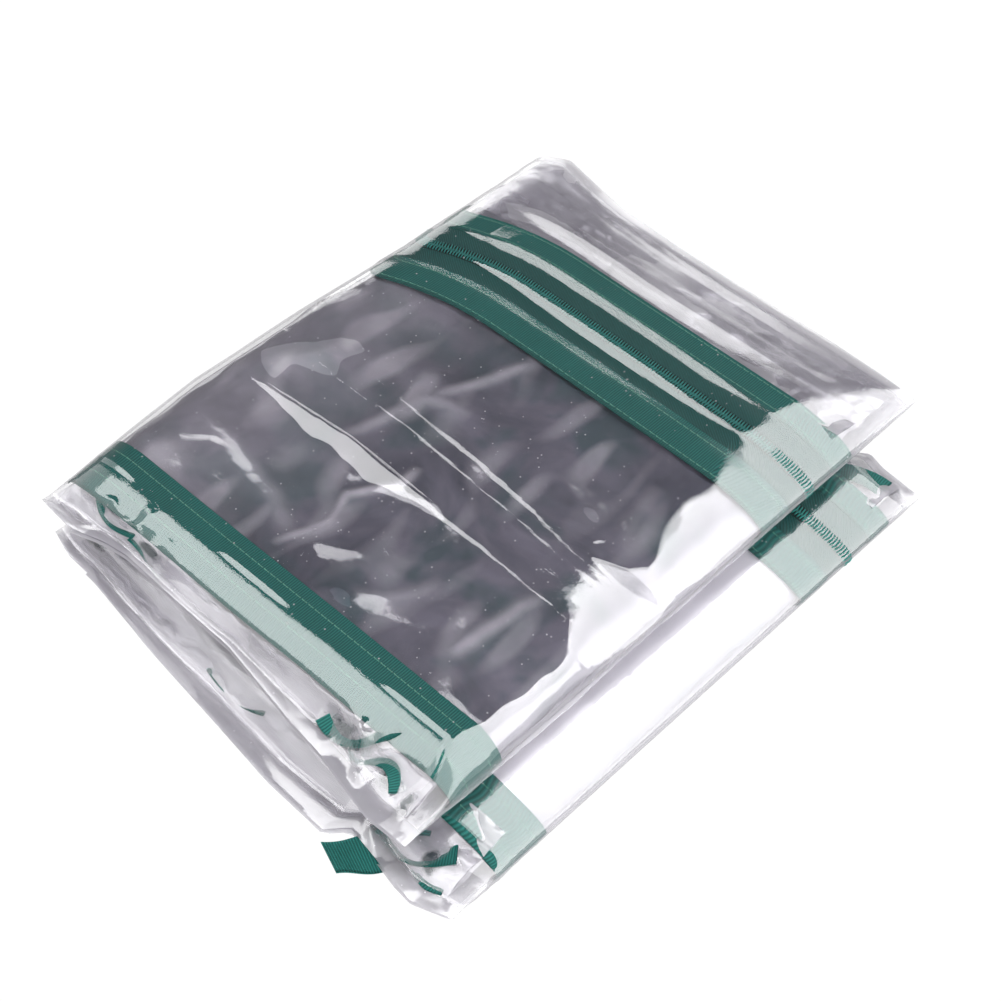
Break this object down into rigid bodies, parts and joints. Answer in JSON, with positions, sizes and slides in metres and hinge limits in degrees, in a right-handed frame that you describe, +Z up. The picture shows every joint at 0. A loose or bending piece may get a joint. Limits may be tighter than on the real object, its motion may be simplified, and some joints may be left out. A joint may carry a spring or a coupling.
{
  "type": "folded pop-up greenhouse cover",
  "caption": "Clear film cover of a mini pop-up greenhouse, zigzag folded into a flat bundle, with green fabric bindings and a coil zip.",
  "frame": {"origin": "centre of the bundle's box, on the surface it lies on", "axes": "+X towards the nose folds, +Y along the folds towards the thin edge, +Z up through the leaves"},
  "size_m": [0.284, 0.364, 0.0558],
  "materials": {
    "clear_film": "clear glossy flexible PVC film",
    "folded_film": "many crumpled plies of clear film, dark grey in the mass",
    "binding": "green grosgrain binding tape",
    "zip_tape": "green woven zip tape",
    "zip_coil": "moulded nylon coil",
    "slider_metal": "painted die-cast zinc"
  },
  "bodies": {
    "bottom_leaf": {"bottom_left_wall": "clear_film", "bottom_seam_binding": "binding", "bottom_door_panel": "clear_film", "bottom_door_binding": "binding", "bottom_surround_binding": "binding", "bottom_right_wall": "clear_film", "bottom_rear_wall": "clear_film", "bottom_left_gusset": "folded_film", "bottom_zip_backing": "folded_film", "bottom_right_gusset": "folded_film", "bottom_zip_tapes": "zip_tape", "bottom_zip_coils": "zip_coil", "bottom_hem_binding": "binding", "binding_tail": "binding"},
    "lower_inner_leaf": {"lower_inner_left_wall": "clear_film", "lower_inner_seam_binding": "binding", "lower_inner_door_panel": "clear_film", "lower_inner_door_binding": "binding", "lower_inner_surround_binding": "binding", "lower_inner_right_wall": "clear_film", "lower_inner_rear_wall": "clear_film", "lower_inner_left_gusset": "folded_film", "lower_inner_zip_backing": "folded_film", "lower_inner_right_gusset": "folded_film", "lower_inner_zip_tapes": "zip_tape", "lower_inner_zip_coils": "zip_coil"},
    "upper_inner_leaf": {"upper_inner_left_wall": "clear_film", "upper_inner_seam_binding": "binding", "upper_inner_door_panel": "clear_film", "upper_inner_door_binding": "binding", "upper_inner_surround_binding": "binding", "upper_inner_right_wall": "clear_film", "upper_inner_rear_wall": "clear_film", "upper_inner_left_gusset": "folded_film", "upper_inner_zip_backing": "folded_film", "upper_inner_right_gusset": "folded_film", "upper_inner_zip_tapes": "zip_tape", "upper_inner_zip_coils": "zip_coil"},
    "top_leaf": {"top_left_wall": "clear_film", "top_seam_binding": "binding", "top_door_panel": "clear_film", "top_door_binding": "binding", "top_surround_binding": "binding", "top_right_wall": "clear_film", "top_rear_wall": "clear_film", "top_left_gusset": "folded_film", "top_zip_backing": "folded_film", "top_right_gusset": "folded_film", "top_zip_tapes": "zip_tape", "top_zip_coils": "zip_coil", "top_hem_binding": "binding"},
    "zip_slider": {"zip_slider": "slider_metal"},
    "zip_pull": {"zip_pull_tab": "slider_metal"}
  },
  "joints": [
    {"name": "lower_fold", "type": "hinge", "parent": "bottom_leaf", "child": "lower_inner_leaf", "pos_m": [0.142, 0, 0.0139], "axis": [0, 1, 0], "range_deg": [0, 180]},
    {"name": "spine_fold", "type": "hinge", "parent": "lower_inner_leaf", "child": "upper_inner_leaf", "pos_m": [-0.142, 0, 0.0279], "axis": [0, -1, 0], "range_deg": [0, 180]},
    {"name": "upper_fold", "type": "hinge", "parent": "upper_inner_leaf", "child": "top_leaf", "pos_m": [0.115, 0, 0.0419], "axis": [0, 1, 0], "range_deg": [0, 180]},
    {"name": "slider_travel", "type": "slide", "parent": "lower_inner_leaf", "child": "zip_slider", "axis": [1, 0, 0], "range_m": [-0.055, 0.115]},
    {"name": "pull_hinge", "type": "hinge", "parent": "zip_slider", "child": "zip_pull", "pos_m": [-0.04, 0.0975, 0.0258], "axis": [0, 1, 0], "range_deg": [0, 9]}
  ],
  "couplings": [
    {"joint": "spine_fold", "follows": "lower_fold", "ratio": 1},
    {"joint": "upper_fold", "follows": "lower_fold", "ratio": 1}
  ]
}
